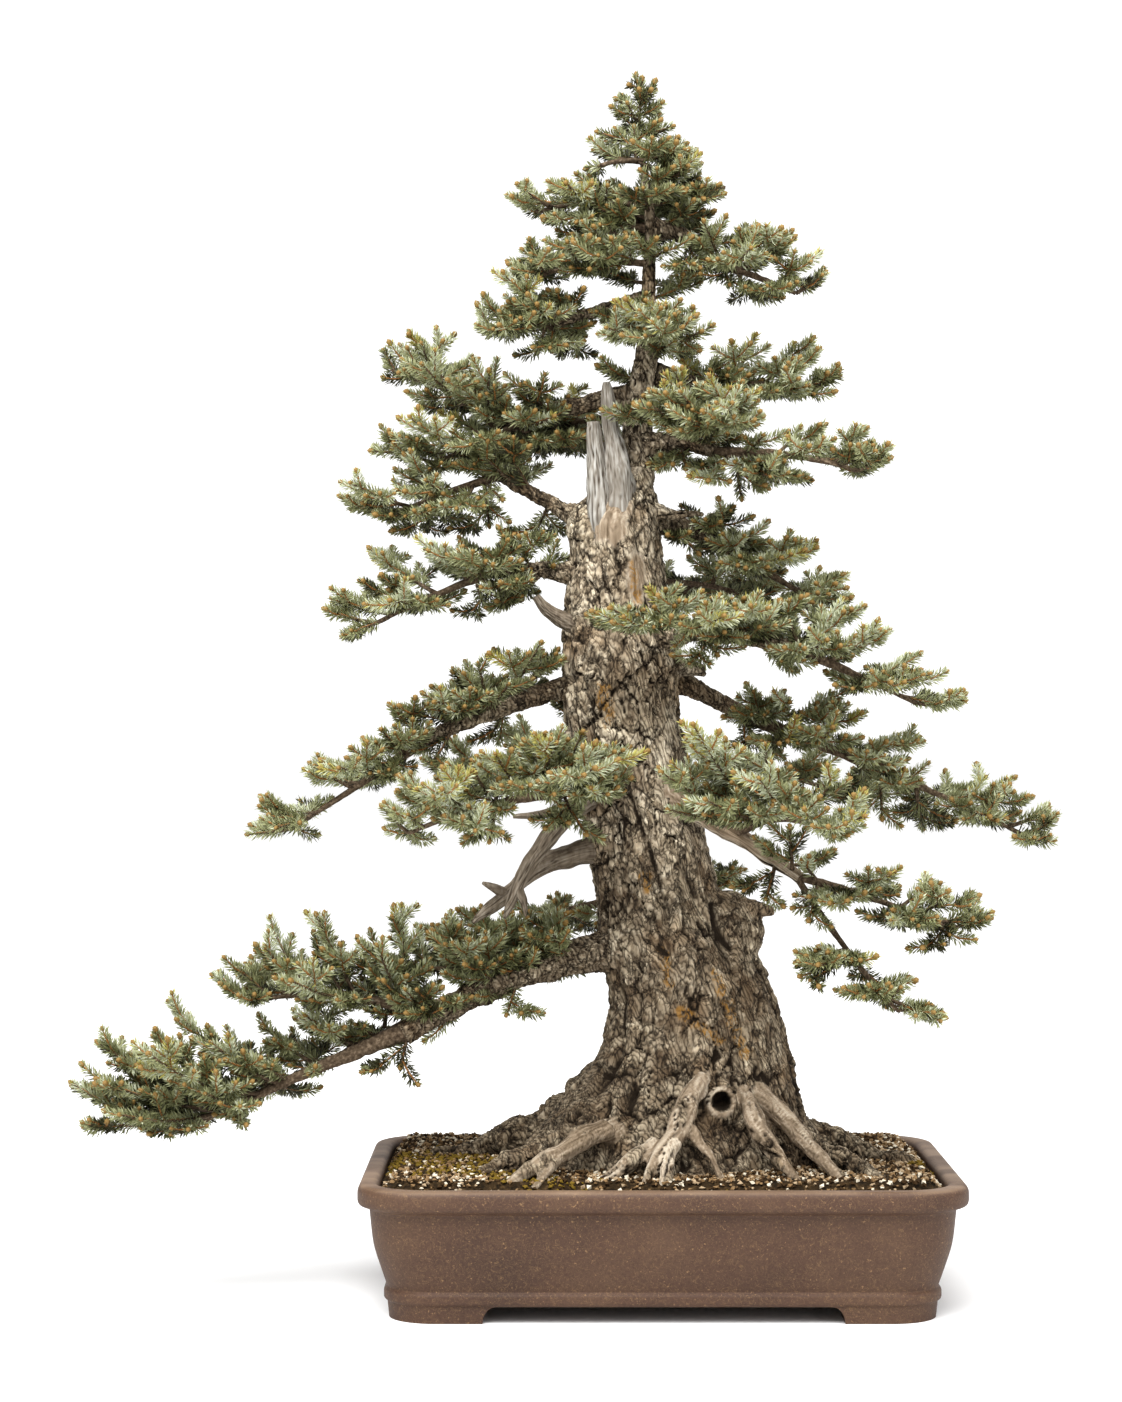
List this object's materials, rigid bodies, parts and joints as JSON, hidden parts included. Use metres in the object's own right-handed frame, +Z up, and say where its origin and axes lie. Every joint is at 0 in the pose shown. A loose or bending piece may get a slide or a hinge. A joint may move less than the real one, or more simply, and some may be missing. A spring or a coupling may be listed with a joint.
{
  "type": "potted white spruce bonsai",
  "caption": "Old conifer bonsai with a flared leaning trunk, silver deadwood top and layered needle pads on bare boughs, in a low rectangular clay pot on feet.",
  "frame": {"origin": "middle of the plant's bounding box in plan, on the plane that the pot's feet stand on", "axes": "+Z up along the trunk, +X along the pot's long side towards the right of the picture's viewer, +Y away from the viewer"},
  "size_m": [0.848, 0.5044, 1.0478],
  "materials": {
    "fired clay": "unglazed, matte, reddish brown with fine pale specks",
    "soil": "loose tan and brown granules",
    "bark": "rough plated grey-brown bark",
    "dead wood": "bare weathered silver wood with fine grain",
    "needles": "matte blue-green and yellow-green needles"
  },
  "bodies": {
    "root": {"bough_back_low": "bark", "bough_back_middle": "bark", "bough_front_left": "bark", "bough_front_right": "bark", "bough_left_high": "bark", "bough_left_low": "bark", "bough_left_middle": "bark", "bough_left_shoulder": "bark", "bough_left_top": "bark", "bough_left_upper": "bark", "bough_right_front": "bark", "bough_right_high": "bark", "bough_right_low": "bark", "bough_right_middle": "bark", "bough_right_top": "bark", "bough_right_upper": "bark", "dead_limb_lower": "dead wood", "dead_limb_upper": "dead wood", "dead_stub": "dead wood", "dead_top": "dead wood", "foliage_back_high": "needles", "foliage_back_low": "needles", "foliage_back_middle": "needles", "foliage_back_right": "needles", "foliage_back_upper": "needles", "foliage_crown_back": "needles", "foliage_crown_cone": "needles", "foliage_crown_left_lower": "needles", "foliage_crown_left_upper": "needles", "foliage_crown_right": "needles", "foliage_crown_tip": "needles", "foliage_front_left_end": "needles", "foliage_front_left_in": "needles", "foliage_front_right_end": "needles", "foliage_front_right_hang": "needles", "foliage_front_right_pad": "needles", "foliage_front_top": "needles", "foliage_left_high_end": "needles", "foliage_left_high_low": "needles", "foliage_left_low_end": "needles", "foliage_left_low_middle": "needles", "foliage_left_low_top": "needles", "foliage_left_low_under": "needles", "foliage_left_middle_end": "needles", "foliage_left_middle_in": "needles", "foliage_left_shoulder": "needles", "foliage_left_top": "needles", "foliage_left_upper": "needles", "foliage_right_front_end": "needles", "foliage_right_front_in": "needles", "foliage_right_high": "needles", "foliage_right_low_end": "needles", "foliage_right_low_in": "needles", "foliage_right_middle": "needles", "foliage_right_top": "needles", "foliage_right_upper_end": "needles", "foliage_right_upper_in": "needles", "pot": "fired clay", "soil": "soil", "trunk": "bark"}
  },
  "joints": []
}
